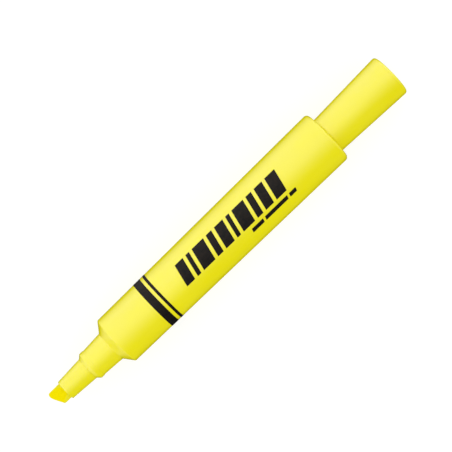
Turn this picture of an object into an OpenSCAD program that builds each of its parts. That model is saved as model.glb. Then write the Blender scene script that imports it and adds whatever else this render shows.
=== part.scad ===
// Chisel-tip highlighter lying on its barrel, with its cap pushed onto the post at its tail.
// The nib points toward -X and the cap toward +X. The barrel touches the plane z = 0.
// Round pieces are turned about the barrel's axis. Their profiles hold [radius, station], and a
// station is the distance from the barrel's front corner, positive toward the tail.

/* [Barrel] */
// Length of the barrel from its front corner to its back face
barrel_length = 87.3; // [70:0.1:110]
// Diameter of the barrel at its front corner
barrel_front_diameter = 16.5; // [15:0.1:20]
// Diameter of the barrel at its back face
barrel_tail_diameter = 18; // [15.6:0.1:22]
// Thickness of the barrel's wall
barrel_wall = 1.5; // [1:0.05:1.8]
// Radius of the rounded edge of the back face
barrel_edge_radius = 1.2; // [0.3:0.1:1.5]
// Radius of the rounded front corner
barrel_corner_radius = 0.6; // [0.2:0.1:0.8]
// Length of the cone between the barrel and the collar
shoulder_length = 2.4; // [2:0.1:4]
// Number of ribs inside the barrel that centre the reservoir
barrel_ribs = 6; // [4:1:10]
// Height of those ribs where the bore is narrowest
barrel_rib_height = 0.7; // [0.4:0.05:1]
// Thickness of those ribs
barrel_rib_thickness = 0.9; // [0.6:0.1:1.4]
// Height of the step on those ribs that stops the reservoir
barrel_rib_step = 1; // [0.6:0.1:1.4]

/* [Collar] */
// Length of the collar from the shoulder to the front of its lip
collar_length = 8.4; // [7:0.1:11]
// Length of the straight lip that the cap clicks over
lip_length = 1.1; // [0.8:0.1:1.6]
// Height of the lip above the waist behind it
lip_height = 0.13; // [0.1:0.01:0.25]
// Thickness of the collar's wall under the lip
lip_wall = 1.25; // [0.9:0.05:1.8]
// Growth of the collar's radius from the waist to the shoulder
collar_flare = 0.4; // [0.3:0.05:0.8]
// Length of the cone in front of the lip
nose_cone_length = 1.05; // [0.6:0.05:1.6]

/* [Nib holder] */
// Length of the snout in front of the collar
snout_length = 9.35; // [7:0.05:12]
// Thickness of the snout's wall where it leaves the collar
snout_base_wall = 0.9; // [0.85:0.05:1.2]
// Thickness of the snout's wall at its rim
snout_rim_wall = 0.38; // [0.3:0.02:0.6]
// Thickness of the skirt's wall inside the collar
skirt_wall = 0.7; // [0.5:0.05:0.8]
// Length of the skirt inside the collar
skirt_length = 9.6; // [7:0.1:9.7]
// Gap around the nib that lets air back into the barrel
air_gap = 0.15; // [0.1:0.01:0.3]
// Number of ribs in the holder's bore that grip the nib
grip_ribs = 6; // [3:1:8]
// Thickness of those ribs
grip_rib_thickness = 0.6; // [0.4:0.1:0.8]

/* [Nib] */
// Diameter of the felt rod
nib_diameter = 5.5; // [4.5:0.05:6.6]
// How far the leading corner stands out of the snout
nib_reach = 4.75; // [4:0.05:6]
// Slant of the writing edge, in degrees from square
nib_slant = 29; // [15:1:35]
// Angle between each flat and the middle plane of the wedge, in degrees
nib_flat_angle = 24; // [18:1:40]
// Thickness of the writing edge
nib_edge_thickness = 1.7; // [1:0.1:2.2]
// Radius of the writing edge's two corners
nib_corner_radius = 1.1; // [0.2:0.05:1.2]
// Turn of the wedge about the barrel's axis, in degrees
nib_roll = 20; // [0:1:90]
// How far the nib's tail goes into the reservoir
nib_plug_in = 6; // [3:0.5:10]
// Length of the chamfer on the nib's tail
nib_tail_chamfer = 1; // [0.4:0.1:1.5]

/* [Reservoir] */
// Distance from the front corner to the reservoir's front end
reservoir_start = 3.2; // [2.5:0.1:6]
// Thickness of the film wrapped around the fibre
film_thickness = 0.15; // [0.1:0.01:0.3]
// Clearance between the film and the barrel's ribs
reservoir_clearance = 0.05; // [0.02:0.01:0.15]
// Clearance around the nib's tail and the breather tube
socket_clearance = 0.05; // [0.02:0.01:0.15]
// Outer diameter of the breather tube
breather_diameter = 1.6; // [1.2:0.1:2]
// Wall thickness of the breather tube
breather_wall = 0.3; // [0.2:0.05:0.4]

/* [Tail plug] */
// Length of the plug's skirt in the barrel
plug_skirt_length = 8; // [5:0.5:12]
// Thickness of the plug's skirt
plug_skirt_wall = 1.1; // [0.8:0.1:1.5]
// Thickness of the plug's end web
plug_web = 1.5; // [1:0.1:2]
// Depth of the chamfers that mark the joint between plug and barrel
plug_seam = 0.15; // [0.05:0.05:0.25]
// Length of the post that carries the cap
post_length = 11; // [8:0.1:12]
// Thickness of the post's wall
post_wall = 1.2; // [0.8:0.1:1.6]
// Radius of the edge at the post's closed end
post_edge_radius = 0.8; // [0.3:0.1:1]
// Number of fingers that press the reservoir forward
finger_count = 4; // [3:1:6]
// Distance that the fingers reach ahead of the plug's skirt
finger_reach = 6; // [3:0.5:9]
// Thickness of the fingers
finger_thickness = 1; // [0.7:0.1:1.4]
// Radial width of the fingers
finger_width = 1.9; // [1.5:0.1:2.2]

/* [Cap] */
// Thickness of the cap's wall at its mouth
cap_mouth_wall = 0.96; // [0.7:0.02:1.4]
// Thickness of the cap's wall at its closed end
cap_tail_wall = 2.2; // [1.4:0.05:2.4]
// Thickness of the closed end
cap_end_wall = 1.3; // [1:0.1:1.8]
// Radius of the rounded edge of the closed end
cap_edge_radius = 0.9; // [0.3:0.1:1.2]
// Radial clearance between the cap and what it slides over
cap_clearance = 0.1; // [0.06:0.01:0.2]
// How far the cap's click ring reaches inside the collar's lip
click_bite = 0.07; // [0.03:0.01:0.1]
// Width of the click ring at the bore
click_width = 0.8; // [0.6:0.1:1.2]
// Gap between the cap's mouth and the face that it is pushed up to
mouth_gap = 0.1; // [0.05:0.01:0.3]

/* [Cap seal] */
// Gap between the post's end and the seal's mouth
seal_gap = 0.5; // [0.3:0.1:1]
// Wall thickness of the seal's cup
seal_wall = 0.65; // [0.5:0.05:0.7]
// Height of the lip that wipes the snout
seal_lip_height = 0.22; // [0.15:0.01:0.3]
// Width of that lip
seal_lip_width = 0.8; // [0.5:0.1:1.2]
// Thickness of the seal's floor
seal_floor = 0.9; // [0.6:0.1:1.3]
// Length of the wide foot that is pressed into the cap
seal_foot = 1.8; // [1.2:0.1:3]
// Clearance between the nib's tip and the seal's floor when the cap is on the nib
nib_tip_clearance = 0.35; // [0.2:0.05:1]

/* [Hidden] */
$fn = 96;
// overshoot of cutters past the surface that they open
over = 1;

// stations along the axis
collar_back = -shoulder_length;
lip_front = collar_back - collar_length;
lip_back = lip_front + lip_length;
snout_base = lip_front - nose_cone_length;
snout_rim = snout_base - snout_length;
nib_tip = snout_rim - nib_reach;
nib_tail = reservoir_start + nib_plug_in;
plug_front = barrel_length - plug_skirt_length;
reservoir_end = plug_front - finger_reach;
cap_mouth = barrel_length + mouth_gap;

// radii of the nose, from the nib outward
nib_r = nib_diameter / 2;
holder_bore_r = nib_r + air_gap;
skirt_r = holder_bore_r + skirt_wall;
snout_base_r = holder_bore_r + snout_base_wall;
snout_rim_r = holder_bore_r + snout_rim_wall;
lip_r = skirt_r + lip_wall;
waist_r = lip_r - lip_height;
collar_r = waist_r + collar_flare;
// small ledge of the collar's front face around the snout
nose_ledge = 0.08;
nose_r = snout_base_r + nose_ledge;
// length of the cone behind the lip, from its height and its slope
lip_slope = 3;
lip_ramp = lip_slope * lip_height;
// the collar and the post share this narrowing per length
collar_taper = collar_flare / (collar_length - lip_length - lip_ramp);

// barrel
barrel_front_r = barrel_front_diameter / 2;
barrel_tail_r = barrel_tail_diameter / 2;
barrel_taper = (barrel_tail_r - barrel_front_r) / barrel_length;
shoulder_slope = (barrel_front_r - collar_r) / shoulder_length;
// axial shift that gives the shoulder the barrel's wall thickness
shoulder_shift = barrel_wall * norm([1, shoulder_slope]) / shoulder_slope;
bore_start = (shoulder_shift * shoulder_slope - barrel_wall) / (shoulder_slope - barrel_taper);
bore_tip = shoulder_shift - (barrel_front_r - skirt_r) / shoulder_slope;
narrowest_bore_r = min(bore_r(bore_start), bore_r(plug_front));
rib_r = narrowest_bore_r - barrel_rib_height;
rib_stop_r = rib_r - barrel_rib_step;
// the back edge's rounding, which leaves some of the wall flat beside the seam
barrel_edge = rounded([0, barrel_length], [barrel_tail_r, barrel_length], [barrel_front_r, 0],
                      min(barrel_edge_radius, barrel_wall - 2 * plug_seam));
widest_r = max([for (point = barrel_edge) point[0]]);

// writing edge, from its leading to its trailing corner, and the leading corner's station before
// rounding, which leaves the rounded tip at the nib's reach
nib_edge_run = [-nib_diameter, nib_diameter * tan(nib_slant)];
nib_corner_arc = rounded([0, 1], [0, 0], nib_edge_run, nib_corner_radius);
nib_corner = nib_tip - min([for (point = nib_corner_arc) point[1]]);

// reservoir
film_r = rib_r - reservoir_clearance;
core_r = film_r - film_thickness;
breather_r = breather_diameter / 2;
breather_offset = core_r - breather_r - socket_clearance;

// tail plug
seam_bottom = barrel_length - plug_seam;
seam_r = bore_r(seam_bottom);
post_tip_r = post_r(post_length);
post_bore_length = post_length - post_wall;
// the fingers press on the core only, this far inside its film
finger_inset = 0.2;
finger_inner_r = core_r - finger_width - finger_inset;

// cap, with depths measured from its mouth
cap_mouth_bore_r = collar_r + cap_clearance;
cap_bore_r = lip_r + cap_clearance;
cap_mouth_r = cap_mouth_bore_r + cap_mouth_wall;
cap_end_r = cap_bore_r + cap_tail_wall;
click_depth = collar_length - lip_length - lip_ramp - click_width / 2;
click_r = lip_r - click_bite;
nose_depth = -nib_tip + collar_back;
cap_bore_length = nose_depth + nib_tip_clearance + seal_floor;
cap_length = cap_bore_length + cap_end_wall;
seal_start = post_length + seal_gap;
// how tightly the seal's lip would wipe the snout at rest
seal_squeeze = 0.02;
seal_lip_r = snout_r(seal_start + seal_lip_width) - seal_squeeze;
seal_bore_r = seal_lip_r + seal_lip_height;
seal_r = seal_bore_r + seal_wall;

// place of the whole highlighter
axis_height = widest_r;
middle_station = (nib_tip + cap_mouth + cap_length) / 2;

function unit(v) = v / norm(v);
function turned(v, angle) = [v[0] * cos(angle) - v[1] * sin(angle), v[0] * sin(angle) + v[1] * cos(angle)];
// Points of the arc that rounds corner b of a profile, whose neighbours are a and c: it leaves the
// side toward a and meets the side toward c.
function rounded(a, b, c, radius, steps = 8) =
    let (
        to_a = unit(a - b),
        to_c = unit(c - b),
        half = acos(to_a * to_c) / 2,
        centre = b + unit(to_a + to_c) * radius / sin(half),
        spoke = b + to_a * radius / tan(half) - centre,
        turn = (180 - 2 * half) * sign(cross(to_c, to_a))
    )
    [for (i = [0 : steps]) centre + turned(spoke, turn * i / steps)];
function bore_r(station) = barrel_front_r + barrel_taper * station - barrel_wall;
// radius of the post at a distance from the back face, and of the collar from the shoulder
function post_r(distance) = collar_r - collar_taper * distance;
// radius of the snout at a distance from the shoulder
function snout_r(distance) =
    snout_base_r - (snout_base_r - snout_rim_r) * (distance + snout_base - collar_back) / snout_length;

// lays a piece turned about local Z along the X axis, with the barrel on z = 0
module placed() {
    translate([-middle_station, 0, axis_height]) rotate([0, 90, 0]) children();
}

// straight plates around the axis, from an inner to an outer radius
module plates(count, thickness, inner, outer, from, to, start = 0) {
    for (i = [0 : count - 1])
        rotate([0, 0, start + i * 360 / count])
            translate([inner, -thickness / 2, from])
                cube([outer - inner, thickness, to - from]);
}

module barrel_outside() {
    back = [barrel_tail_r, barrel_length];
    front = [barrel_front_r, 0];
    root = [collar_r, collar_back];
    polygon([
        [0, barrel_length],
        each barrel_edge,
        each rounded(back, front, root, barrel_corner_radius),
        root, [waist_r, lip_back + lip_ramp], [lip_r, lip_back], [lip_r, lip_front],
        [nose_r, snout_base], [0, snout_base]
    ]);
}

module barrel_bore() {
    polygon([
        [0, snout_base - over], [skirt_r, snout_base - over], [skirt_r, bore_tip],
        [bore_r(bore_start), bore_start], [seam_r, seam_bottom],
        [seam_r + plug_seam, barrel_length], [seam_r + plug_seam, barrel_length + over],
        [0, barrel_length + over]
    ]);
}

// turned shape that the ribs are cut from: rooted in half of the wall, with a step at the front
// that stops the reservoir
module rib_profile() {
    root = barrel_wall / 2;
    front = bore_start - shoulder_length / 4;
    polygon([
        [rib_stop_r, front], [bore_r(front) + root, front],
        [bore_r(reservoir_end) + root, reservoir_end], [rib_r, reservoir_end],
        [rib_r, reservoir_start], [rib_stop_r, reservoir_start]
    ]);
}

module barrel() {
    color("yellow") placed() {
        rotate_extrude() difference() {
            barrel_outside();
            barrel_bore();
        }
        intersection() {
            rotate_extrude() rib_profile();
            plates(barrel_ribs, barrel_rib_thickness, 0, barrel_tail_r, collar_back, barrel_length,
                   start = 180 / barrel_ribs);
        }
    }
}

module nib_holder() {
    base = [snout_base_r, snout_base];
    skirt_back = snout_base + skirt_length;
    color("yellow") placed() difference() {
        rotate_extrude() polygon([
            [0, snout_rim],
            each rounded([0, snout_rim], [snout_rim_r, snout_rim], base, snout_rim_wall / 2),
            base, [skirt_r, snout_base], [skirt_r, skirt_back], [0, skirt_back]
        ]);
        translate([0, 0, snout_rim - over])
            linear_extrude(snout_length + skirt_length + 2 * over)
                difference() {
                    circle(holder_bore_r);
                    grip_rib_outlines();
                }
    }
}

// ribs of the holder's bore, flat where they touch the nib
module grip_rib_outlines() {
    for (i = [0 : grip_ribs - 1])
        rotate(i * 360 / grip_ribs)
            translate([nib_r, -grip_rib_thickness / 2])
                square([skirt_wall, grip_rib_thickness]);
}

// felt rod cut to a wedge, with a slanted writing edge whose leading corner is at +y
module nib() {
    leading = [nib_r, nib_corner];
    trailing = leading + nib_edge_run;
    tail_left = [nib_r, nib_tail];
    tail_right = [-nib_r, nib_tail];
    wedge_length = nib_tail - nib_corner + nib_diameter;
    color("gold") placed() rotate([0, 0, -nib_roll]) intersection() {
        rotate_extrude() polygon([
            [0, nib_corner], [nib_r, nib_corner], [nib_r, nib_tail - nib_tail_chamfer],
            [nib_r - nib_tail_chamfer, nib_tail], [0, nib_tail]
        ]);
        // side outline, square to the writing edge's thickness
        rotate([90, 0, 90]) linear_extrude(2 * nib_diameter, center = true)
            polygon([
                tail_left,
                each rounded(tail_left, leading, trailing, nib_corner_radius),
                each rounded(leading, trailing, tail_right, nib_corner_radius),
                tail_right
            ]);
        // wedge whose flats run along the slanted edge
        translate([0, nib_r, nib_corner]) rotate([90 - nib_slant, 0, 0])
            linear_extrude(2 * wedge_length, center = true) wedge_outline(wedge_length);
    }
}

// wedge across the writing edge: x is the thickness and y the distance behind the edge
module wedge_outline(length) {
    edge = nib_edge_thickness / 2;
    spread = edge + length * tan(nib_flat_angle);
    polygon([[-edge, 0], [edge, 0], [spread, length], [-spread, length]]);
}

module reservoir_core() {
    socket_r = nib_r + socket_clearance;
    slot_r = breather_r + socket_clearance;
    color("lemonchiffon") placed() difference() {
        translate([0, 0, reservoir_start])
            cylinder(h = reservoir_end - reservoir_start, r = core_r);
        // socket with the shape of the nib's tail
        rotate_extrude() polygon([
            [0, reservoir_start - over], [socket_r, reservoir_start - over],
            [socket_r, nib_tail - nib_tail_chamfer], [socket_r - nib_tail_chamfer, nib_tail],
            [0, nib_tail]
        ]);
        // slot of the breather tube, open to the film
        translate([0, 0, reservoir_start - over])
            linear_extrude(reservoir_end - reservoir_start + 2 * over) {
                translate([breather_offset, 0]) circle(slot_r);
                translate([breather_offset, -slot_r]) square([core_r, 2 * slot_r]);
            }
    }
}

module reservoir_film() {
    color("whitesmoke") placed() difference() {
        translate([0, 0, reservoir_start])
            cylinder(h = reservoir_end - reservoir_start, r = film_r);
        translate([0, 0, reservoir_start - over])
            cylinder(h = reservoir_end - reservoir_start + 2 * over, r = core_r);
    }
}

module breather_tube() {
    color("white") placed() translate([breather_offset, 0, reservoir_start]) difference() {
        cylinder(h = reservoir_end - reservoir_start, r = breather_r);
        translate([0, 0, -over])
            cylinder(h = reservoir_end - reservoir_start + 2 * over, r = breather_r - breather_wall);
    }
}

module tail_plug() {
    post_end = barrel_length + post_length;
    web_front = barrel_length - plug_web;
    post_root = [collar_r, barrel_length];
    color("yellow") placed() {
        rotate_extrude() difference() {
            polygon([
                [0, post_end],
                each rounded([0, post_end], [post_tip_r, post_end], post_root, post_edge_radius),
                post_root,
                [seam_r - plug_seam, barrel_length], [seam_r, seam_bottom],
                [bore_r(plug_front), plug_front], [bore_r(plug_front) - plug_skirt_wall, plug_front],
                [bore_r(web_front) - plug_skirt_wall, web_front], [0, web_front]
            ]);
            // hollow of the post
            polygon([
                [0, web_front - over], [collar_r - post_wall, web_front - over],
                [collar_r - post_wall, barrel_length],
                [post_r(post_bore_length) - post_wall, barrel_length + post_bore_length],
                [0, barrel_length + post_bore_length]
            ]);
        }
        plates(finger_count, finger_thickness, finger_inner_r, finger_inner_r + finger_width,
               reservoir_end, web_front + plug_web / 2, start = 180 / finger_count);
    }
}

module cap() {
    cap_end = cap_mouth + cap_length;
    mouth = [cap_mouth_r, cap_mouth];
    click_at = cap_mouth + click_depth;
    ring = click_width / 2;
    color("yellow") placed() rotate_extrude() polygon([
        mouth,
        each rounded(mouth, [cap_end_r, cap_end], [0, cap_end], cap_edge_radius),
        [0, cap_end], [0, cap_mouth + cap_bore_length], [cap_bore_r, cap_mouth + cap_bore_length],
        [cap_bore_r, click_at + ring], [click_r, click_at], [cap_bore_r, click_at - ring],
        [cap_mouth_bore_r, cap_mouth]
    ]);
}

module cap_seal() {
    start = cap_mouth + seal_start;
    end = cap_mouth + cap_bore_length;
    color("lightyellow") placed() rotate_extrude() polygon([
        [seal_lip_r, start], [seal_r, start], [seal_r, end - seal_foot],
        [cap_bore_r, end - seal_foot], [cap_bore_r, end], [0, end], [0, end - seal_floor],
        [seal_bore_r, end - seal_floor], [seal_bore_r, start + 2 * seal_lip_width],
        [seal_lip_r, start + seal_lip_width]
    ]);
}

barrel();
nib_holder();
nib();
reservoir_core();
reservoir_film();
breather_tube();
tail_plug();
cap();
cap_seal();
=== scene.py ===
# %% [markdown]
# # A fat chisel-tip highlighter, lying open on a pale table
#
# A highlighter is a bundle of turned plastic mouldings around a felt rod. Almost everything on it
# is round about one line, so one helper does most of the shape work: it takes a side outline and
# carries it once round that line. The rest of the lesson is about the felt wedge, the printed
# decoration, and making one plain colour look like real moulded plastic.
#
# The frame comes first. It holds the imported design, and every size below is read from it or is a
# detail that sits on it.

# %% Load the frame
import math

import bmesh
import bpy
import numpy as np
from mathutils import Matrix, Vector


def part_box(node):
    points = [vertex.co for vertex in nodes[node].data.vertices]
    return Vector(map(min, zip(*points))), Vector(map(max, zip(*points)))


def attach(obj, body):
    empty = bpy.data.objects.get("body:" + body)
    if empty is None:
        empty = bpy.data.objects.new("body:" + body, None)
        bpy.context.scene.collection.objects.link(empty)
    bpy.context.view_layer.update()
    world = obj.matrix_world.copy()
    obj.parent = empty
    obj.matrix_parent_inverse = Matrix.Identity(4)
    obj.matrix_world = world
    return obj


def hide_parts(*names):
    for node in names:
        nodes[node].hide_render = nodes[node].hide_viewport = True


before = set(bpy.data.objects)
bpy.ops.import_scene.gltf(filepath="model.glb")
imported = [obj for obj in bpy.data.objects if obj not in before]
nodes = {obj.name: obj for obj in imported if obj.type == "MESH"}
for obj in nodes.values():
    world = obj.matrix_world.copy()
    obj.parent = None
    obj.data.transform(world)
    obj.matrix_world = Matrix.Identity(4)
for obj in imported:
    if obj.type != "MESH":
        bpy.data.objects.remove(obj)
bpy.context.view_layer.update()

MM = 0.001

# %% [markdown]
# ## Where things are
#
# The pen lies along X with its nib toward -X. A *station* here is an X position. Stations are
# taken from the boxes of the designed pieces, so nothing has to be fitted by eye. The few lengths
# that no box shows, such as where the collar begins, are the moulding's own details and are
# counted from those stations.

# %% Stations, in metres
barrel_low, barrel_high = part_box("barrel")
AXIS_Z = (barrel_low.z + barrel_high.z) / 2
BARREL_LENGTH = 87.3 * MM
BARREL_BACK = barrel_high.x
BARREL_FRONT = BARREL_BACK - BARREL_LENGTH
SNOUT_BASE = barrel_low.x
SNOUT_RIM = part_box("nib_holder")[0].x
NIB_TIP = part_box("nib")[0].x
NIB_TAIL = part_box("nib")[1].x
POST_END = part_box("tail_plug")[1].x
CAP_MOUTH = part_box("cap")[0].x
CAP_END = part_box("cap")[1].x
SEAL_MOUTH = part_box("cap_seal")[0].x
SEAL_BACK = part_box("cap_seal")[1].x
print("axis height in mm:", round(AXIS_Z / MM, 2), " nib tip at:", round(NIB_TIP / MM, 2))

# %% [markdown]
# A round piece's radius is half the height of its box. The barrel's box can't tell its front from
# its tail, nor the collar from its lip and waist, so those five radii are listed.

# %% Radii, in metres
def half_height(node):
    """Radius of a round node: half the height of its box."""
    low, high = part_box(node)
    return (high.z - low.z) / 2


NIB_R = half_height("nib")
SNOUT_BASE_R = half_height("nib_holder")
CAP_BORE_R = half_height("cap_seal")
BARREL_FRONT_R = 8.25 * MM
BARREL_TAIL_R = 9.0 * MM
COLLAR_R = 5.12 * MM
LIP_R = 4.85 * MM
WAIST_R = 4.72 * MM
print("nib radius in mm:", round(NIB_R / MM, 2), " cap bore:", round(CAP_BORE_R / MM, 2))

# %% [markdown]
# ## Outlines with rounded corners
#
# Moulded plastic has no truly sharp edge: even a crisp one is a small arc, and that arc is what
# catches the light. Blender could bevel the finished mesh, but an arc in the outline is cheaper
# and exact. Each corner of an outline is given as a station, a radius and a rounding.

# %% Outline helper
ARC_POINTS = 9


def outline(corners, closed, step=1.5 * MM):
    """Dense outline through corners (station, radius, rounding).

    The arc at a corner touches both sides: its centre lies on the corner's bisector, at the
    rounding divided by the sine of half the corner's angle. Straight runs are cut to `step`.
    """
    points = np.array([c[:2] for c in corners], float)
    rounding = [c[2] for c in corners]
    pieces = []
    for i, here in enumerate(points):
        is_end = not closed and i in (0, len(points) - 1)
        if is_end or rounding[i] == 0:
            pieces.append(here[None])
            continue
        before, after = points[i - 1] - here, points[(i + 1) % len(points)] - here
        before, after = before / np.linalg.norm(before), after / np.linalg.norm(after)
        half = math.acos(np.clip(before @ after, -1, 1)) / 2
        bisector = (before + after) / np.linalg.norm(before + after)
        centre = here + bisector * rounding[i] / math.sin(half)
        start = here + before * rounding[i] / math.tan(half) - centre
        side = math.copysign(1, after[0] * before[1] - after[1] * before[0])
        turn = np.linspace(0, side * (math.pi - 2 * half), ARC_POINTS)[:, None]
        across = np.array([-start[1], start[0]])
        pieces.append(centre + start * np.cos(turn) + across * np.sin(turn))
    dense = np.concatenate(pieces)
    following = np.roll(dense, -1, axis=0) if closed else dense[1:]
    runs = []
    for a, b in zip(dense, following):
        count = max(1, int(np.linalg.norm(b - a) / step))
        runs.append(a + (b - a) * np.linspace(0, 1, count, endpoint=False)[:, None])
    if not closed:
        runs.append(dense[-1:])
    return np.concatenate(runs)


rounded_square = outline([(0, 0, 1), (4, 0, 1), (4, 4, 1), (0, 4, 1)], closed=True, step=1)
print("a square with four rounded corners takes", len(rounded_square), "points")

# %% [markdown]
# ## A smooth, closed mesh
#
# Every new piece ends up here. It is shaded smooth, so that few faces look round, but edges that
# bend more than an angle stay sharp. Its volume comes from its triangles, and the sign of that
# volume tells whether the faces point outwards.

# %% Mesh at the origin
def mesh_piece(name, vertices, faces, sharp_above=40):
    """Mesh object at the origin, smooth except at edges sharper than the given angle."""
    mesh = bpy.data.meshes.new(name)
    mesh.from_pydata(vertices.tolist(), [], faces)
    mesh.validate()
    mesh.polygons.foreach_set("use_smooth", np.ones(len(mesh.polygons), bool))
    mesh.set_sharp_from_angle(angle=math.radians(sharp_above))
    mesh.update()
    piece = bpy.data.objects.new(name, mesh)
    bpy.context.scene.collection.objects.link(piece)
    return piece


def signed_volume(piece):
    """Volume of a closed mesh: a sixth of the sum of a . (b x c) over its triangles."""
    mesh = piece.data
    mesh.calc_loop_triangles()
    corner = np.zeros(len(mesh.vertices) * 3)
    mesh.vertices.foreach_get("co", corner)
    triangle = np.zeros(len(mesh.loop_triangles) * 3, np.int32)
    mesh.loop_triangles.foreach_get("vertices", triangle)
    a, b, c = corner.reshape(-1, 3)[triangle.reshape(-1, 3)].transpose(1, 0, 2)
    return float(np.einsum("ij,ij->i", a, np.cross(b, c)).sum() / 6)


def face_outwards(piece):
    """Turns every face round if the mesh is inside out, and says what was made."""
    if signed_volume(piece) < 0:
        piece.data.flip_normals()
    print(f"{piece.name}: {len(piece.data.vertices)} points, {signed_volume(piece) / MM**3:.0f} mm3")


# %% [markdown]
# ## Turning an outline into a piece
#
# Blender's Screw modifier turns a curve round an axis, and it would do. Working the grid out
# with numpy instead leaves room for a second idea: the radius may also depend on the angle,
# which is how the ribs in the barrel and in the snout are made. A rib is a bulge that repeats
# with the angle. The faces of such a grid follow from its rows and columns alone.

# %% Faces of a grid
def ring_faces(rows, columns, closed):
    """Quads between neighbouring rows of a grid whose columns run round the axis."""
    row = np.arange(rows if closed else rows - 1)[:, None]
    column = np.arange(columns)[None, :]
    below, above = row * columns, (row + 1) % rows * columns
    right = (column + 1) % columns
    return np.stack([below + column, below + right, above + right, above + column], -1).reshape(-1, 4)


def pole_faces(rows, columns):
    """Triangles that close the first and the last row of a grid on two points stored after it."""
    first, last, top = rows * columns, rows * columns + 1, (rows - 1) * columns
    column = np.arange(columns)
    right = (column + 1) % columns
    return np.concatenate([
        np.stack([np.full(columns, first), right, column], -1),
        np.stack([np.full(columns, last), top + column, top + right], -1),
    ]).tolist()


print("a ring of 3 rows and 8 columns has", len(ring_faces(3, 8, False)), "faces")

# %% Turned surface
def turned_piece(name, profile, columns=192, closed=True, bulge=None):
    """Surface (station, radius) x angle about the pen's axis.

    The point at angle a is (station, radius * sin a, axis + radius * cos a). bulge(a) gives, for
    each profile point and angle, what is added to the radius. An open profile starts and ends on
    the axis, where each end closes in one point.
    """
    angle = np.linspace(0, 2 * math.pi, columns, endpoint=False)
    body = profile if closed else profile[1:-1]
    radius = np.repeat(body[:, 1:2], columns, axis=1)
    if bulge is not None:
        radius = radius + bulge(body, angle)
    grid = np.stack([
        np.repeat(body[:, 0:1], columns, axis=1),
        radius * np.sin(angle),
        AXIS_Z + radius * np.cos(angle),
    ], -1)
    vertices = grid.reshape(-1, 3)
    faces = ring_faces(len(body), columns, closed).tolist()
    if not closed:
        poles = np.array([[profile[0, 0], 0, AXIS_Z], [profile[-1, 0], 0, AXIS_Z]])
        faces += pole_faces(len(body), columns)
        vertices = np.concatenate([vertices, poles])
    piece = mesh_piece(name, vertices, faces)
    face_outwards(piece)
    return piece


# %% [markdown]
# ## The barrel
#
# The barrel, its sloped shoulder and the collar that the cap clicks onto are one moulding, open
# at the back. Its outline runs along the outside from the back face to the collar's front, then
# back along the bore, so the piece is a real hollow shell.

# %% Barrel outline
WALL = 1.5 * MM
SEAM = 0.15 * MM
SKIRT_R = 3.6 * MM
RESERVOIR_R = half_height("reservoir_film")
RESERVOIR_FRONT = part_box("reservoir_film")[0].x
RESERVOIR_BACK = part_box("reservoir_film")[1].x
SHOULDER_LENGTH = 2.4 * MM
NOSE_CONE = 1.05 * MM
LIP_LENGTH = 1.1 * MM
LIP_RAMP = 0.39 * MM
# ledge of the collar's front face around the snout
LEDGE = 0.08 * MM
# where the bore begins behind the front corner, and where its slope begins before it
BORE_START = 0.7 * MM
BORE_TIP = 2.1 * MM
# how far the bore has widened at the reservoir's front, and has yet to widen at its back
WIDER_AT_FRONT = 0.03 * MM
NARROWER_AT_BACK = 0.12 * MM
collar_back = BARREL_FRONT - SHOULDER_LENGTH
lip_front = SNOUT_BASE + NOSE_CONE
lip_back = lip_front + LIP_LENGTH
ramp_back = lip_back + LIP_RAMP
barrel_outline = outline([
    (BARREL_BACK, BARREL_TAIL_R - WALL + SEAM, 0),
    (BARREL_BACK, BARREL_TAIL_R, 1.2 * MM),
    (BARREL_FRONT, BARREL_FRONT_R, 0.6 * MM),
    (collar_back, COLLAR_R, 0.3 * MM),
    (ramp_back, WAIST_R, 0.3 * MM),
    (lip_back, LIP_R, 0.12 * MM),
    (lip_front, LIP_R, 0.12 * MM),
    (SNOUT_BASE, SNOUT_BASE_R + LEDGE, 0.12 * MM),
    (SNOUT_BASE, SKIRT_R, 0),
    (BARREL_FRONT - BORE_TIP, SKIRT_R, 0.2 * MM),
    (BARREL_FRONT + BORE_START, BARREL_FRONT_R - WALL, 0.4 * MM),
    (RESERVOIR_FRONT, BARREL_FRONT_R - WALL + WIDER_AT_FRONT, 0),
    (RESERVOIR_BACK, BARREL_TAIL_R - WALL - NARROWER_AT_BACK, 0),
    (BARREL_BACK - SEAM, BARREL_TAIL_R - WALL, 0),
], closed=True)
print("barrel outline:", len(barrel_outline), "points")

# %% [markdown]
# Six ribs in the bore hold the ink reservoir, with a step at the front that stops it. They could
# be thin plates joined on, but here a rib is the bore's own surface, pulled inwards over a narrow
# band of angles, so that barrel and ribs are one closed mesh.

# %% Barrel with its ribs
# smaller than any step of the moulding, so that comparisons of lengths are safe
HAIR = 0.01 * MM
RIB_CLEARANCE = 0.05 * MM
RIB_STEP = 1 * MM
# the ribs leave the bore's front corner alone
RIBS_BEGIN = BARREL_FRONT + BORE_START + 0.1 * MM


def barrel_ribs(profile, angle, count=6, thickness=0.9 * MM):
    """Ribs in the bore: where the angle is within half a rib's thickness of a rib's middle, the
    radius drops to just over that of the reservoir, and by a step more just in front of it."""
    station, radius = profile[:, 0:1], profile[:, 1:2]
    away = np.abs((angle * count / (2 * math.pi)) % 1 - 0.5) * 2 * math.pi / count
    on_rib = (away[None, :] * radius < thickness / 2)
    in_bore = (radius < BARREL_TAIL_R - WALL + HAIR) & (station > RIBS_BEGIN)
    held = (station >= RESERVOIR_FRONT - HAIR) & (station <= RESERVOIR_BACK + HAIR)
    top = RESERVOIR_R + RIB_CLEARANCE
    target = np.where(held, top, top - RIB_STEP)
    ribbed = in_bore & (held | (station < RESERVOIR_FRONT)) & on_rib
    return np.where(ribbed, target - radius, 0)


barrel = turned_piece("barrel_shell", barrel_outline, columns=288, bulge=barrel_ribs)
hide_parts("barrel")
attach(barrel, "pen")

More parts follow.
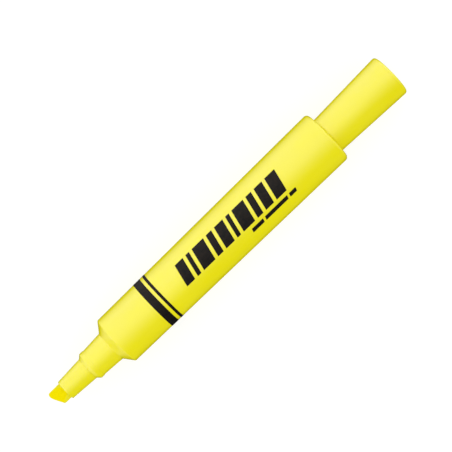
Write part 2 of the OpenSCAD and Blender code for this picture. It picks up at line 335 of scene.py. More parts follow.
# %% [markdown]
# ## The snout that holds the nib
#
# The snout is a separate moulding pressed into the collar. Its bore is a little wider than the
# nib, and six thin ribs grip the felt, so that air can creep past it into the barrel while ink
# leaves. Those ribs show as small teeth around the nib at the rim.

# %% Nib holder
AIR_GAP = 0.15 * MM
SNOUT_RIM_R = 3.28 * MM
BORE_R = NIB_R + AIR_GAP
SKIRT_LENGTH = 9.6 * MM
# length of the short straight band at the snout's base
BASE_BAND = 0.25 * MM
skirt_back = SNOUT_BASE + SKIRT_LENGTH
holder_outline = outline([
    (SNOUT_RIM, SNOUT_RIM_R, 0.22 * MM),
    (SNOUT_BASE - BASE_BAND, SNOUT_BASE_R, 0.2 * MM),
    (SNOUT_BASE, SNOUT_BASE_R, 0.08 * MM),
    (SNOUT_BASE, SKIRT_R, 0),
    (skirt_back, SKIRT_R, 0.15 * MM),
    (skirt_back, BORE_R, 0.1 * MM),
    (SNOUT_RIM, BORE_R, 0.1 * MM),
], closed=True)


def grip_ribs(profile, angle, count=6, width=0.11):
    """Smooth teeth round the bore: exp(-(u / width) ** 4), where u is the angle from the nearest
    tooth's middle, times the air gap, and taken from the radius of the bore's own points only."""
    tooth = np.exp(-((np.arccos(np.cos(count * angle)) / count / width) ** 4))
    in_bore = profile[:, 1] < BORE_R + 2 * HAIR
    return -AIR_GAP * in_bore[:, None] * tooth[None, :]


holder = turned_piece("snout", holder_outline, columns=240, bulge=grip_ribs)
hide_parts("nib_holder")
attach(holder, "pen")

# %% [markdown]
# ## The felt nib
#
# The nib is a rod of bonded fibre, ground to a wedge whose edge is slanted. Cutting a cylinder
# with boxes gives knife edges, and felt never has those. Here the rod is measured from a point
# inside it instead. A ray from that point is stopped by walls: the round side, the two flats,
# the slanted writing edge, the arc of its leading corner, and the rod's tail with its chamfer.
# Blending the distances with a power mean rounds every edge at once, and the power sets how soft
# the felt is. Such a blend pulls the tip in a little, so the walls start that much further out.

# %% Walls of the nib
SLANT = math.radians(29)
FLAT = math.radians(24)
ROLL = math.radians(20)
EDGE_HALF = 0.85 * MM
CORNER_R = 1.1 * MM
CORNER_PLANES = 6
TIP_LOST_TO_ROUNDING = 0.19 * MM
# the point on the rod's axis that the rays start from
NIB_CENTRE = NIB_TIP + 7.5 * MM


def nib_walls(centre_x):
    """Planes (normal, distance) in the nib's own frame, whose axes are forward, along the
    writing edge, and square to it. The edge's plane is tilted by the slant, and each flat is
    tilted from the middle plane by its own angle and starts half an edge's thickness out. The
    leading corner is an arc, and planes that touch it at even steps of angle stand for it."""
    tip_forward = centre_x - NIB_TIP + TIP_LOST_TO_ROUNDING
    arc_centre = np.array([tip_forward - CORNER_R, NIB_R - CORNER_R, 0.0])
    edge_normal = np.array([math.cos(SLANT), -math.sin(SLANT), 0.0])
    on_edge = arc_centre + CORNER_R * edge_normal
    walls = [(edge_normal, on_edge @ edge_normal)]
    for turn in np.linspace(-SLANT, math.pi / 2, CORNER_PLANES + 2)[1:-1]:
        normal = np.array([math.cos(turn), math.sin(turn), 0.0])
        walls.append((normal, arc_centre @ normal + CORNER_R))
    for side in (1, -1):
        normal = math.sin(FLAT) * edge_normal + np.array([0, 0, side * math.cos(FLAT)])
        walls.append((normal, on_edge @ normal + EDGE_HALF * math.cos(FLAT)))
    walls.append((np.array([-1.0, 0, 0]), NIB_TAIL - centre_x))
    return walls


print("flat walls around the nib:", len(nib_walls(NIB_CENTRE)))

# %% [markdown]
# The rays leave the inner point like the ribs of an umbrella, from the tip round to the tail, and
# crowd toward the tip, where the shape is. The nib is then rolled about its own line, because it
# rarely lies in the snout with its writing edge level.

# %% Nib
TAIL_CHAMFER = 1 * MM
# above 1, the rays crowd toward the tip
CROWDING = 1.25


def nib_surface(centre_x=NIB_CENTRE, rows=170, columns=176, softness=45):
    """Surface (polar angle, angle) about a point on the rod's axis.

    The distance to a wall along the ray v is d / (n . v), to the round side it is r / sin(polar),
    and to the tail's chamfer d / (sin(polar) - cos(polar)). The surface is at the power mean of
    the inverse distances: (sum of distance ** -k) ** (-1 / k).
    """
    walls = nib_walls(centre_x)
    polar = math.pi * np.linspace(0, 1, rows + 2)[1:-1] ** CROWDING
    angle = np.linspace(0, 2 * math.pi, columns, endpoint=False)
    p, a = np.meshgrid(polar, angle, indexing="ij")
    ray = np.stack([np.cos(p), np.sin(p) * np.sin(a), np.sin(p) * np.cos(a)], -1)
    chamfer = NIB_R - TAIL_CHAMFER + NIB_TAIL - centre_x
    inverse = (np.sin(p) / NIB_R) ** softness
    inverse = inverse + np.maximum((np.sin(p) - np.cos(p)) / chamfer, 0) ** softness
    for normal, distance in walls:
        inverse = inverse + np.maximum(ray @ normal / distance, 0) ** softness
    reach = inverse ** (-1 / softness)
    forward, along, square = np.moveaxis(ray * reach[..., None], -1, 0)
    y = along * math.cos(ROLL) + square * math.sin(ROLL)
    z = square * math.cos(ROLL) - along * math.sin(ROLL)
    grid = np.stack([centre_x - forward, y, AXIS_Z + z], -1).reshape(-1, 3)
    tip_reach = sum(max(n[0] / d, 0) ** softness for n, d in walls) ** (-1 / softness)
    poles = np.array([[centre_x - tip_reach, 0, AXIS_Z], [NIB_TAIL, 0, AXIS_Z]])
    faces = ring_faces(rows, columns, closed=False).tolist() + pole_faces(rows, columns)
    return np.concatenate([grid, poles]), faces


nib_points, nib_faces = nib_surface()
nib = mesh_piece("felt_nib", nib_points, nib_faces, sharp_above=180)
face_outwards(nib)
print("nib tip off the design by", round((nib_points[:, 0].min() - NIB_TIP) / MM, 3), "mm")
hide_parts("nib")
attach(nib, "pen")

# %% [markdown]
# ## The plug in the tail
#
# The plug closes the barrel once the ink reservoir is in. Its face is flush with the barrel's
# back, with a fine groove between them, and its hollow post carries the cap. The post has the
# collar's taper, so that the cap sits as snugly on it as it does on the nose.

# %% Tail plug
PLUG_FRONT = BARREL_BACK - 8 * MM
WEB_FRONT = BARREL_BACK - 1.5 * MM
POST_WALL = 1.2 * MM
POST_TIP_R = 4.484 * MM
PLUG_WALL = 1.1 * MM
BORE_R_AT_BACK = BARREL_TAIL_R - WALL
# how much narrower the bore is at the plug's front
PLUG_TAPER = 0.08 * MM
plug_outline = outline([
    (POST_END, 0, 0),
    (POST_END, POST_TIP_R, 0.8 * MM),
    (BARREL_BACK, COLLAR_R, 0.25 * MM),
    (BARREL_BACK, BORE_R_AT_BACK - SEAM, 0),
    (BARREL_BACK - SEAM, BORE_R_AT_BACK, 0),
    (PLUG_FRONT, BORE_R_AT_BACK - PLUG_TAPER, 0.1 * MM),
    (PLUG_FRONT, BORE_R_AT_BACK - PLUG_WALL, 0.1 * MM),
    (WEB_FRONT, BORE_R_AT_BACK - PLUG_WALL, 0.4 * MM),
    (WEB_FRONT, COLLAR_R - POST_WALL, 0.3 * MM),
    (POST_END - POST_WALL, POST_TIP_R - POST_WALL, 0.4 * MM),
    (POST_END - POST_WALL, 0, 0),
], closed=False)
plug = turned_piece("tail_post", plug_outline, closed=False)

# %% [markdown]
# Four fingers reach forward from the plug and hold the reservoir in place. They aren't round
# about the pen's line, so they are plates of their own, put into the plug's mesh.

# %% Fingers of the plug
FINGER_WIDTH = 1.9 * MM
# the fingers press on the fibre only, this far inside the reservoir's outer radius
FINGER_INSET = 0.35 * MM
# they are rooted this deep in the plug's web
FINGER_ROOT = 0.75 * MM


def fingers(count=4, thickness=1 * MM):
    """Upright plates at even angles. A corner is a radius, a distance to the side of it and a
    station, and turns with its plate: (r cos a - side sin a, r sin a + side cos a)."""
    angle = (np.arange(count)[:, None] + 0.5) * 2 * math.pi / count
    outer = RESERVOIR_R - FINGER_INSET
    ends = (RESERVOIR_BACK, WEB_FRONT + FINGER_ROOT)
    radii = (outer - FINGER_WIDTH, outer)
    sides = (-thickness / 2, thickness / 2)
    corner = np.meshgrid(ends, radii, sides, indexing="ij")
    station, radius, side = (value.ravel()[None, :] for value in corner)
    y = radius * np.sin(angle) + side * np.cos(angle)
    z = radius * np.cos(angle) - side * np.sin(angle)
    corners = np.stack([np.broadcast_to(station, y.shape), y, AXIS_Z + z], -1).reshape(-1, 3)
    box = np.array([(0, 1, 3, 2), (4, 6, 7, 5), (0, 4, 5, 1), (2, 3, 7, 6), (0, 2, 6, 4), (1, 5, 7, 3)])
    return corners, (box[None] + 8 * np.arange(count)[:, None, None]).reshape(-1, 4).tolist()


def add_to(piece, name, points, faces):
    """Closed shells put into the mesh of a finished piece, their faces pointing outwards."""
    extra = mesh_piece(name, points, faces)
    face_outwards(extra)
    both = bmesh.new()
    both.from_mesh(piece.data)
    both.from_mesh(extra.data)
    both.to_mesh(piece.data)
    both.free()
    # its object goes with it
    bpy.data.meshes.remove(extra.data)
    print(name, "added to", piece.name, "- now", len(piece.data.polygons), "faces")


add_to(plug, "fingers", *fingers())
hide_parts("tail_plug")
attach(plug, "pen")

# %% [markdown]
# ## The cap
#
# The cap grows toward its closed end, which makes it easy to pull off. Pushed onto the tail it
# shows only its outside, but it is a real cup: the bore, the click ring that snaps behind the
# collar's lip and the mark left by the moulding gate are all there when it slides off.

# %% Cap
CAP_MOUTH_R = 6.18 * MM
CAP_TAIL_R = 7.15 * MM
CAP_FLOOR = SEAL_BACK
CAP_CLEARANCE = 0.1 * MM
CLICK_DEPTH = 6.51 * MM
CLICK_HEIGHT = 0.17 * MM
CLICK_HALF_WIDTH = 0.4 * MM
# the gate's mark is a shallow dimple with sloped sides
GATE_DEPTH = 0.15 * MM
GATE_FLOOR_R = 0.7 * MM
GATE_R = 0.95 * MM
click_at = CAP_MOUTH + CLICK_DEPTH
cap_outline = outline([
    (CAP_END - GATE_DEPTH, 0, 0),
    (CAP_END - GATE_DEPTH, GATE_FLOOR_R, 0.1 * MM),
    (CAP_END, GATE_R, 0.15 * MM),
    (CAP_END, CAP_TAIL_R, 0.9 * MM),
    (CAP_MOUTH, CAP_MOUTH_R, 0.2 * MM),
    (CAP_MOUTH, COLLAR_R + CAP_CLEARANCE, 0.15 * MM),
    (click_at - CLICK_HALF_WIDTH, CAP_BORE_R, 0.1 * MM),
    (click_at, CAP_BORE_R - CLICK_HEIGHT, 0.12 * MM),
    (click_at + CLICK_HALF_WIDTH, CAP_BORE_R, 0.1 * MM),
    (CAP_FLOOR, CAP_BORE_R, 0.3 * MM),
    (CAP_FLOOR, 0, 0),
], closed=False)
cap = turned_piece("cap_shell", cap_outline, columns=256, closed=False)
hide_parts("cap")
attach(cap, "cap")

# %% [markdown]
# ## The seal inside the cap
#
# A thin cup is pressed into the bottom of the cap. Its soft lip wipes the snout when the cap is
# on the nose, which keeps the ink from drying. It is seen only by looking into the cap's mouth.

# %% Cap seal
SEAL_FOOT = SEAL_BACK - 1.8 * MM
SEAL_FLOOR = SEAL_BACK - 0.9 * MM
SEAL_LIP_R = 3.62 * MM
SEAL_BORE_R = SEAL_LIP_R + 0.22 * MM
SEAL_R = SEAL_LIP_R + 0.87 * MM
LIP_WIDTH = 0.8 * MM
seal_outline = outline([
    (SEAL_BACK, 0, 0),
    (SEAL_BACK, CAP_BORE_R, 0.1 * MM),
    (SEAL_FOOT, CAP_BORE_R, 0.1 * MM),
    (SEAL_FOOT, SEAL_R, 0.3 * MM),
    (SEAL_MOUTH, SEAL_R, 0.15 * MM),
    (SEAL_MOUTH, SEAL_LIP_R, 0.15 * MM),
    (SEAL_MOUTH + LIP_WIDTH, SEAL_LIP_R, 0.1 * MM),
    (SEAL_MOUTH + 2 * LIP_WIDTH, SEAL_BORE_R, 0.2 * MM),
    (SEAL_FLOOR, SEAL_BORE_R, 0.5 * MM),
    (SEAL_FLOOR, 0, 0),
], closed=False)
seal = turned_piece("seal_cup", seal_outline, columns=128, closed=False)
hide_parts("cap_seal")
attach(seal, "cap")

# %% [markdown]
# ## The printed decoration
#
# The barrel is pad printed: a soft silicone pad rolls a film of black ink onto it. The film is
# far thinner than paper, but it is a real layer with an edge. Each mark is drawn as a four-sided
# patch in two flat coordinates, the station and the distance round the barrel, and every point
# is then lifted onto the barrel's cone.

# %% The barrel's cone
INK = 0.03 * MM
barrel_taper = (BARREL_TAIL_R - BARREL_FRONT_R) / BARREL_LENGTH


def on_barrel(station, around, lift):
    """Point of the barrel's cone: `around` is the arc length from the top line, toward -Y."""
    radius = BARREL_FRONT_R + barrel_taper * (station - BARREL_FRONT)
    angle = -around / radius
    radius = radius + lift
    return np.stack([station, radius * np.sin(angle), AXIS_Z + radius * np.cos(angle)], -1)


print("the barrel's radius grows by", round(barrel_taper, 4), "mm in each mm")

# %% Printed patches
def ink_patch(corners, cells=(8, 24)):
    """Closed film over four flat corners: a bilinear grid, laid on the barrel twice, once just
    inside its surface and once an ink's thickness above it, and joined round its border."""
    s, t = (np.linspace(0, 1, count + 1) for count in cells)
    s, t = np.meshgrid(s, t, indexing="ij")
    a, b, c, d = (np.array(corner, float) * MM for corner in corners)
    flat = (
        a * ((1 - s) * (1 - t))[..., None] + b * (s * (1 - t))[..., None]
        + c * (s * t)[..., None] + d * ((1 - s) * t)[..., None]
    )
    top = on_barrel(flat[..., 0], flat[..., 1], INK).reshape(-1, 3)
    under = on_barrel(flat[..., 0], flat[..., 1], -INK).reshape(-1, 3)
    index = np.arange(s.size).reshape(s.shape)
    quads = np.stack([index[:-1, :-1], index[1:, :-1], index[1:, 1:], index[:-1, 1:]], -1)
    quads = quads.reshape(-1, 4)
    border = np.concatenate([index[:, 0], index[-1, 1:], index[-2::-1, -1], index[0, -2:0:-1]])
    after = np.roll(border, -1)
    walls = np.stack([after, border, border + s.size, after + s.size], -1)
    faces = np.concatenate([quads, quads[:, ::-1] + s.size, walls])
    return np.concatenate([top, under]), faces


def joined(patches):
    """One mesh from several patches, each with its own points."""
    offset, points, faces = 0, [], []
    for patch_points, patch_faces in patches:
        points.append(patch_points)
        faces.append(patch_faces + offset)
        offset += len(patch_points)
    return np.concatenate(points), np.concatenate(faces).tolist()


print("a patch of 8 by 24 cells has", len(ink_patch([(0, 0), (1, 0), (1, 1), (0, 1)])[1]), "faces")

# %% [markdown]
# The design is a plain one: two rings, a row of slanted bars and a broken underline. Bars of
# different widths with even gaps look livelier than a regular stripe, and they lean, as if the
# pen were moving.

# %% The design of the print, in mm from the barrel's front corner and round from its top line
# (start, width) of each mark along the barrel
RINGS = ((15.0, 2.6), (18.6, 0.9))
DASHES = ((51.5, 4.5), (56.8, 9.0), (66.6, 2.6))
BARS_START = 26.5
BAR_WIDTHS = (3.2, 1.4, 4.6, 2.2, 3.4, 1.4, 4.6, 2.2, 3.2, 4.0)
BAR_GAP = 1.15
# from one side of the mark to the other, round the barrel, and the lean between them
BAR_SPAN = (3.1, -4.1)
BAR_LEAN = 1.6
DASH_SPAN = (5.6, 4.3)
DASH_LEAN = 0.3


def mark(start, width, span, lean, cells):
    """Patch of one width, whose second side is moved along the barrel by the lean."""
    near, far = span
    a = BARREL_FRONT / MM + start
    b = BARREL_FRONT / MM + start + width
    return ink_patch([(a, near), (b, near), (b + lean, far), (a + lean, far)], cells)


patches = []
for start, width in RINGS:
    half_way = math.pi * (BARREL_FRONT_R / MM + barrel_taper * start)
    patches.append(mark(start, width, (-half_way, half_way), 0, (4, 200)))
start = BARS_START
for width in BAR_WIDTHS:
    patches.append(mark(start, width, BAR_SPAN, BAR_LEAN, (8, 24)))
    start += width + BAR_GAP
print("bars end", round(start, 1), "mm behind the front corner")
for start, width in DASHES:
    patches.append(mark(start, width, DASH_SPAN, DASH_LEAN, (8, 6)))

# %% The print as one piece
print_points, print_faces = joined(patches)
barrel_print = mesh_piece("barrel_print", print_points, print_faces)
face_outwards(barrel_print)
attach(barrel_print, "pen")

# %% [markdown]
# ## Materials
#
# Every finish starts from the Principled shader. One helper wires a pattern into it: noise on
# Object coordinates, so that the pattern is as large as the real one and stays on the piece.

# %% Material helpers
def new_material(name):
    """Empty node material: returns it with its nodes, links and Principled shader."""
    material = bpy.data.materials.new(name)
    material.use_nodes = True
    tree = material.node_tree
    return material, tree, tree.nodes["Principled BSDF"]


def object_noise(tree, scale, detail=2.0, stretch=(1, 1, 1)):
    """Noise that sits on the piece; stretch is how many times finer it is along each axis."""
    place = tree.nodes.new("ShaderNodeTexCoord")
    mapping = tree.nodes.new("ShaderNodeMapping")
    mapping.inputs["Scale"].default_value = stretch
    noise = tree.nodes.new("ShaderNodeTexNoise")
    noise.inputs["Scale"].default_value = scale
    noise.inputs["Detail"].default_value = detail
    tree.links.new(place.outputs["Object"], mapping.inputs["Vector"])
    tree.links.new(mapping.outputs["Vector"], noise.inputs["Vector"])
    return noise.outputs["Fac"]


print("noise of scale 100 has features about", 1 / 100 / MM, "mm across")

# %% [markdown]
# Noise is a number between 0 and 1, and it becomes a finish in three ways: a ramp turns it into
# colour, a remapping into a roughness, and a bump into a height.

# %% Noise into colour, roughness and height
# noise mostly lies between these two
LOW_NOISE = 0.3
HIGH_NOISE = 0.7


def ramp(tree, value, stops):
    """Colour ramp from (position, colour) stops."""
    node = tree.nodes.new("ShaderNodeValToRGB")
    while len(node.color_ramp.elements) < len(stops):
        node.color_ramp.elements.new(0.5)
    for element, (position, colour) in zip(node.color_ramp.elements, stops):
        element.position = position
        element.color = (*colour, 1)
    tree.links.new(value, node.inputs["Fac"])
    return node.outputs["Color"]


def remapped(tree, value, low, high):
    """Value moved from LOW_NOISE..HIGH_NOISE to low..high."""
    node = tree.nodes.new("ShaderNodeMapRange")
    node.inputs["From Min"].default_value = LOW_NOISE
    node.inputs["From Max"].default_value = HIGH_NOISE
    node.inputs["To Min"].default_value = low
    node.inputs["To Max"].default_value = high
    tree.links.new(value, node.inputs["Value"])
    return node.outputs["Result"]


def mottled(tree, value, deep, pale):
    """Colour that goes from deep to pale over the range of noise."""
    return ramp(tree, value, [(LOW_NOISE, deep), (HIGH_NOISE, pale)])


def bump(tree, shader, height, distance, strength=1.0, under=None):
    """Bump of a real height in metres, stacked on another bump if one is given."""
    node = tree.nodes.new("ShaderNodeBump")
    node.inputs["Strength"].default_value = strength
    node.inputs["Distance"].default_value = distance
    tree.links.new(height, node.inputs["Height"])
    if under is not None:
        tree.links.new(under, node.inputs["Normal"])
    tree.links.new(node.outputs["Normal"], shader.inputs["Normal"])
    return node.outputs["Normal"]


print("a finish varies between", LOW_NOISE, "and", HIGH_NOISE, "of the noise")

# %% [markdown]
# ### Fluorescent plastic
#
# Fluorescent yellow polypropylene is very full in colour, because its dye turns blue light into
# yellow. It is slightly waxy: light enters it and comes out nearby, so its shading is soft, and
# its skin is smooth, with a clear gloss. The colour wanders by a few hundredths over a
# centimetre, as moulded pigment does, and the skin has a fine ripple and rubbed patches that
# differ in gloss.

# %% Plastic
WAX_DEPTH = 1.2 * MM
RIPPLE_HEIGHT = 0.004 * MM
WAVE_HEIGHT = 0.02 * MM
YELLOW_DEEP = (0.835, 0.755, 0.004)
YELLOW_PALE = (0.865, 0.785, 0.008)


def plastic(name, deep, pale, rough):
    """Waxy plastic. The colour drifts over a centimetre, the gloss over a few millimetres, and
    two bumps lie on each other: a broad, low wave under a fine ripple."""
    material, tree, shader = new_material(name)
    drift = object_noise(tree, 90, 3.0, (0.4, 1, 1))
    tree.links.new(mottled(tree, drift, deep, pale), shader.inputs["Base Color"])
    rubbed = object_noise(tree, 260, 5.0, (0.35, 1, 1))
    tree.links.new(remapped(tree, rubbed, rough - 0.05, rough + 0.06), shader.inputs["Roughness"])
    skin = bump(tree, shader, object_noise(tree, 2600, 3.0), RIPPLE_HEIGHT)
    bump(tree, shader, object_noise(tree, 220, 2.0, (0.3, 1, 1)), WAVE_HEIGHT, 0.5, under=skin)
    shader.inputs["Subsurface Weight"].default_value = 0.1
    shader.inputs["Subsurface Radius"].default_value = (1.6, 1.4, 0.2)
    shader.inputs["Subsurface Scale"].default_value = WAX_DEPTH
    shader.inputs["IOR"].default_value = 1.49
    shader.inputs["Specular IOR Level"].default_value = 0.5
    return material


barrel_plastic = plastic("barrel_plastic", YELLOW_DEEP, YELLOW_PALE, 0.16)
cap_plastic = plastic("cap_plastic", (0.825, 0.745, 0.004), (0.855, 0.775, 0.008), 0.17)
snout_plastic = plastic("snout_plastic", YELLOW_DEEP, YELLOW_PALE, 0.16)
barrel.data.materials.append(barrel_plastic)
plug.data.materials.append(barrel_plastic)
cap.data.materials.append(cap_plastic)
holder.data.materials.append(snout_plastic)
print("yellow plastics:", barrel_plastic.name, cap_plastic.name, snout_plastic.name)

# %% [markdown]
# ### Felt
#
# The nib is soaked fibre: hardly any gloss, a deep colour, and fine strands along the rod. An
# image of fibres would need a flat layout of the nib. Noise that is stretched along the rod gives
# strands that run through the whole piece, so the ground faces show them too.

# %% Felt
def felt(name, deep, pale, strands):
    """Bonded fibre: strands twelve times longer than wide, with knots where they meet."""
    material, tree, shader = new_material(name)
    fibre = object_noise(tree, strands, 4.0, (0.08, 1, 1))
    tree.links.new(mottled(tree, fibre, deep, pale), shader.inputs["Base Color"])
    knots = object_noise(tree, strands * 0.6, 2.0, (0.3, 1, 1))
    under = bump(tree, shader, fibre, 0.05 * MM, 0.6)
    bump(tree, shader, knots, 0.05 * MM, 0.4, under=under)
    tree.links.new(remapped(tree, knots, 0.75, 0.95), shader.inputs["Roughness"])
    shader.inputs["Specular IOR Level"].default_value = 0.02
    shader.inputs["Sheen Weight"].default_value = 0.02
    return material


nib_felt = felt("nib_felt", (0.86, 0.72, 0.0), (0.93, 0.78, 0.0), 3500)
nib.data.materials.append(nib_felt)
print("the nib's strands are about", round(1 / 3500 / MM, 2), "mm across")

# %% [markdown]
# A felt rod is bonded inside a smooth, hard skin, and the chisel is ground through it. The round
# side is given a paler, more lemon colour than the ground faces: partly the skin's own colour,
# partly a painted sheen that stands in for the skin's gloss. The distance from the rod's axis tells
# them apart, because only the skin lies at the rod's full radius.

# %% Skin of the felt rod, with painted sheen
# paler colour of the skin: partly its own, partly a painted sheen for its gloss
SKIN_AND_SHEEN_COLOUR = (0.85, 0.76, 0.02, 1)
# the skin's colour comes in between these two distances from the axis
GROUND_R = 0.965 * NIB_R
SKIN_R = 0.995 * NIB_R


def add_skin_and_sheen(material):
    """Mixes in the skin's colour, partly a painted sheen, by the distance from the axis, sqrt(y**2 + (z
    - axis)**2).
    """
    tree = material.node_tree
    shader = tree.nodes["Principled BSDF"]
    place = tree.nodes.new("ShaderNodeTexCoord")
    from_axis = tree.nodes.new("ShaderNodeMapping")
    from_axis.inputs["Location"].default_value = (0, 0, -AXIS_Z)
    # without its station, the point's length is its distance from the axis
    from_axis.inputs["Scale"].default_value = (0, 1, 1)
    distance = tree.nodes.new("ShaderNodeVectorMath")
    distance.operation = "LENGTH"
    on_skin = tree.nodes.new("ShaderNodeMapRange")
    on_skin.inputs["From Min"].default_value = GROUND_R
    on_skin.inputs["From Max"].default_value = SKIN_R
    tree.links.new(place.outputs["Object"], from_axis.inputs["Vector"])
    tree.links.new(from_axis.outputs["Vector"], distance.inputs[0])
    tree.links.new(distance.outputs["Value"], on_skin.inputs["Value"])
    skin_and_sheen_colour = tree.nodes.new("ShaderNodeMix")
    skin_and_sheen_colour.data_type = "RGBA"
    skin_and_sheen_colour.inputs["B"].default_value = SKIN_AND_SHEEN_COLOUR
    tree.links.new(on_skin.outputs["Result"], skin_and_sheen_colour.inputs["Factor"])
    tree.links.new(shader.inputs["Base Color"].links[0].from_socket, skin_and_sheen_colour.inputs["A"])
    tree.links.new(skin_and_sheen_colour.outputs["Result"], shader.inputs["Base Color"])


add_skin_and_sheen(nib_felt)
print("the skin shows within", round((NIB_R - GROUND_R) / MM, 2), "mm of the nib's full radius")

# %% [markdown]
# ### Ink film
#
# Pad-printing ink dries to a thin, rather dull film, black with a trace of brown. It takes a
# little gloss from the smooth plastic under it, but unevenly, and a fine grain stays in it.

# %% Ink film
def printing_ink(name):
    """Near-black that varies over a millimetre, with uneven gloss and a very fine grain."""
    material, tree, shader = new_material(name)
    black = object_noise(tree, 900, 4.0)
    black = mottled(tree, black, (0.004, 0.004, 0.004), (0.012, 0.009, 0.007))
    tree.links.new(black, shader.inputs["Base Color"])
    uneven = remapped(tree, object_noise(tree, 400, 4.0), 0.45, 0.6)
    tree.links.new(uneven, shader.inputs["Roughness"])
    bump(tree, shader, object_noise(tree, 4000, 3.0), 0.003 * MM)
    shader.inputs["Specular IOR Level"].default_value = 0.06
    return material


barrel_print.data.materials.append(printing_ink("black_ink"))
print("ink film:", round(INK / MM, 3), "mm thick above the plastic")

# %% [markdown]
# ### The seal and the pieces inside
#
# The seal is a whiter, duller plastic. The reservoir, its film and the breather tube were made in
# full in the design, so their own meshes stay, and they only get a finish: soaked fibre like the
# nib's, a clear-looking wrap and a plain white tube. They show when the pen is taken apart.

# %% Seal and inner pieces
seal_plastic = plastic("seal_plastic", (0.80, 0.80, 0.62), (0.86, 0.86, 0.70), 0.5)
seal.data.materials.append(seal_plastic)
inner = {
    "reservoir_core": felt("soaked_fibre", (0.70, 0.72, 0.05), (0.85, 0.86, 0.15), 1800),
    "reservoir_film": plastic("wrap_film", (0.75, 0.77, 0.70), (0.85, 0.87, 0.80), 0.25),
    "breather_tube": plastic("tube_plastic", (0.80, 0.80, 0.78), (0.86, 0.86, 0.84), 0.4),
}
for node, material in inner.items():
    nodes[node].data.materials.clear()
    nodes[node].data.materials.append(material)
print("finished inside:", ", ".join(inner))

# %% [markdown]
# ## The table
#
# The table is plain and white, lit so brightly that hardly a shadow stays on it. A product table
# made of frosted glass does that by glowing from below, and a little emission stands for it. It
# glows a little more to the eye than to the pieces, so that they keep their shading.

# %% Table
TABLE_HALF = 3
GLOW_ON_PIECES = 0.55
GLOW_TO_THE_EYE = 0.76
table_mesh = bpy.data.meshes.new("table")
table_corners = [(TABLE_HALF * x, TABLE_HALF * y, 0) for x, y in ((-1, -1), (1, -1), (1, 1), (-1, 1))]
table_mesh.from_pydata(table_corners, [], [(0, 1, 2, 3)])
table = bpy.data.objects.new("table", table_mesh)
bpy.context.scene.collection.objects.link(table)
# the gloss sees the tent's walls in the table's place
table.visible_glossy = False

# %% Paper on the table
paper, paper_tree, paper_shader = new_material("pale_table")
grey = mottled(paper_tree, object_noise(paper_tree, 12, 2.0), (0.29, 0.29, 0.29), (0.31, 0.31, 0.31))
paper_tree.links.new(grey, paper_shader.inputs["Base Color"])
paper_shader.inputs["Roughness"].default_value = 0.9
paper_shader.inputs["Specular IOR Level"].default_value = 0.0
paper_shader.inputs["Emission Color"].default_value = (1, 1, 1, 1)
eye = paper_tree.nodes.new("ShaderNodeLightPath")
glow = paper_tree.nodes.new("ShaderNodeMapRange")
glow.inputs["To Min"].default_value = GLOW_ON_PIECES
glow.inputs["To Max"].default_value = GLOW_TO_THE_EYE
paper_tree.links.new(eye.outputs["Is Camera Ray"], glow.inputs["Value"])
paper_tree.links.new(glow.outputs["Result"], paper_shader.inputs["Emission Strength"])
table.data.materials.append(paper)
print("table:", 2 * TABLE_HALF, "m wide, glow", GLOW_ON_PIECES, "and to the eye", GLOW_TO_THE_EYE)

# %% [markdown]
# ## The light
#
# The light is a tent: white cloth all round, so that the shading is flat and the colour full.
# What gives the barrel its shape is gloss, and for that the tent has a brighter wall above and to
# one side. The world shader holds both: one strength for light that falls on the pieces, and for
# reflections a strength that depends on how far the direction leans to that side and upwards.

# %% Tent of light
TENT_LIGHT = 1.03
GLOSS_WALL = 4.1
# brightness of the gloss wall against the lean, from 0, all the way to -Y, to 1, all the way to +Y
WALL_BY_LEAN = [(0.0, 0.0), (0.08, 0.03), (0.25, 0.34), (0.5, 0.80), (0.8, 1.0)]
# and against the height, from 0, straight down, to 1, straight up
WALL_BY_HEIGHT = [(0.12, 0.0), (0.35, 0.55), (0.55, 1.0)]
print("tent: light", TENT_LIGHT, " gloss wall", GLOSS_WALL)

# %% The tent's world and its directions
world = bpy.data.worlds.new("tent")
bpy.context.scene.world = world
world.use_nodes = True
# each kind of ray meets its own strength only if the world isn't sampled as a lamp
world.cycles.sampling_method = "NONE"
tent = world.node_tree
direction = tent.nodes.new("ShaderNodeTexCoord")
parts = tent.nodes.new("ShaderNodeSeparateXYZ")
tent.links.new(direction.outputs["Generated"], parts.inputs["Vector"])


def tent_ramp(axis, stops):
    """Grey ramp along one axis of the direction: position 0 is -1 on it and position 1 is +1."""
    lifted = tent.nodes.new("ShaderNodeMath")
    lifted.operation = "MULTIPLY_ADD"
    lifted.inputs[1].default_value = 0.5
    lifted.inputs[2].default_value = 0.5
    tent.links.new(parts.outputs[axis], lifted.inputs[0])
    return ramp(tent, lifted.outputs["Value"], [(at, (grey, grey, grey)) for at, grey in stops])


print("world:", world.name)

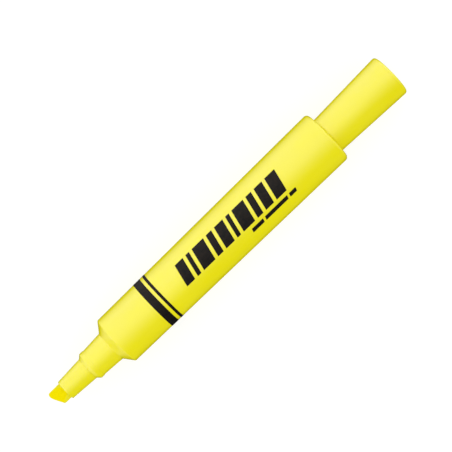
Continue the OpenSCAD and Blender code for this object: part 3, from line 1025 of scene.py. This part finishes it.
# %% [markdown]
# The wall's brightness is the product of two ramps, one by the lean and one by the height. The
# world then chooses: a ray that comes from a glossy bounce sees the wall, every other ray sees
# the even light of the tent.

# %% Gloss wall and soft light
wall = tent.nodes.new("ShaderNodeVectorMath")
wall.operation = "MULTIPLY"
tent.links.new(tent_ramp("Y", WALL_BY_LEAN), wall.inputs[0])
tent.links.new(tent_ramp("Z", WALL_BY_HEIGHT), wall.inputs[1])
gloss = tent.nodes.new("ShaderNodeBackground")
gloss.inputs["Strength"].default_value = GLOSS_WALL
soft = tent.nodes["Background"]
soft.inputs["Color"].default_value = (1, 1, 1, 1)
soft.inputs["Strength"].default_value = TENT_LIGHT
ray = tent.nodes.new("ShaderNodeLightPath")
either = tent.nodes.new("ShaderNodeMixShader")
tent.links.new(wall.outputs["Vector"], gloss.inputs["Color"])
tent.links.new(ray.outputs["Is Glossy Ray"], either.inputs["Fac"])
tent.links.new(soft.outputs["Background"], either.inputs[1])
tent.links.new(gloss.outputs["Background"], either.inputs[2])
tent.links.new(either.outputs["Shader"], tent.nodes["World Output"].inputs["Surface"])
print("kinds of light in the tent:", len(either.inputs) - 1)

# %% [markdown]
# ## The camera
#
# The camera hangs over the table and looks straight down, as for a catalogue. A long lens from far
# away keeps the pen's two ends the same size, and the picture is turned so that the pen runs from
# corner to corner. The standard view transform keeps the fluorescent colour as full as it is.

# %% Camera
PICTURE_TURN = math.radians(44.15)
CAMERA_HEIGHT = 593 * MM
LENS_MM = 159
SENSOR_MM = 36
camera = bpy.data.objects.new("camera", bpy.data.cameras.new("camera"))
bpy.context.scene.collection.objects.link(camera)
camera.data.lens = LENS_MM
camera.data.sensor_width = SENSOR_MM
# a little off the origin, because the pen's ends aren't the same distance from the frame's edge
camera.location = (3.2 * MM, 1.8 * MM, AXIS_Z + CAMERA_HEIGHT)
camera.rotation_euler = (0, 0, -PICTURE_TURN)
bpy.context.scene.camera = camera
bpy.context.scene.view_settings.view_transform = "Standard"
print("picture width on the pen:", round(CAMERA_HEIGHT * SENSOR_MM / LENS_MM / MM, 1), "mm")
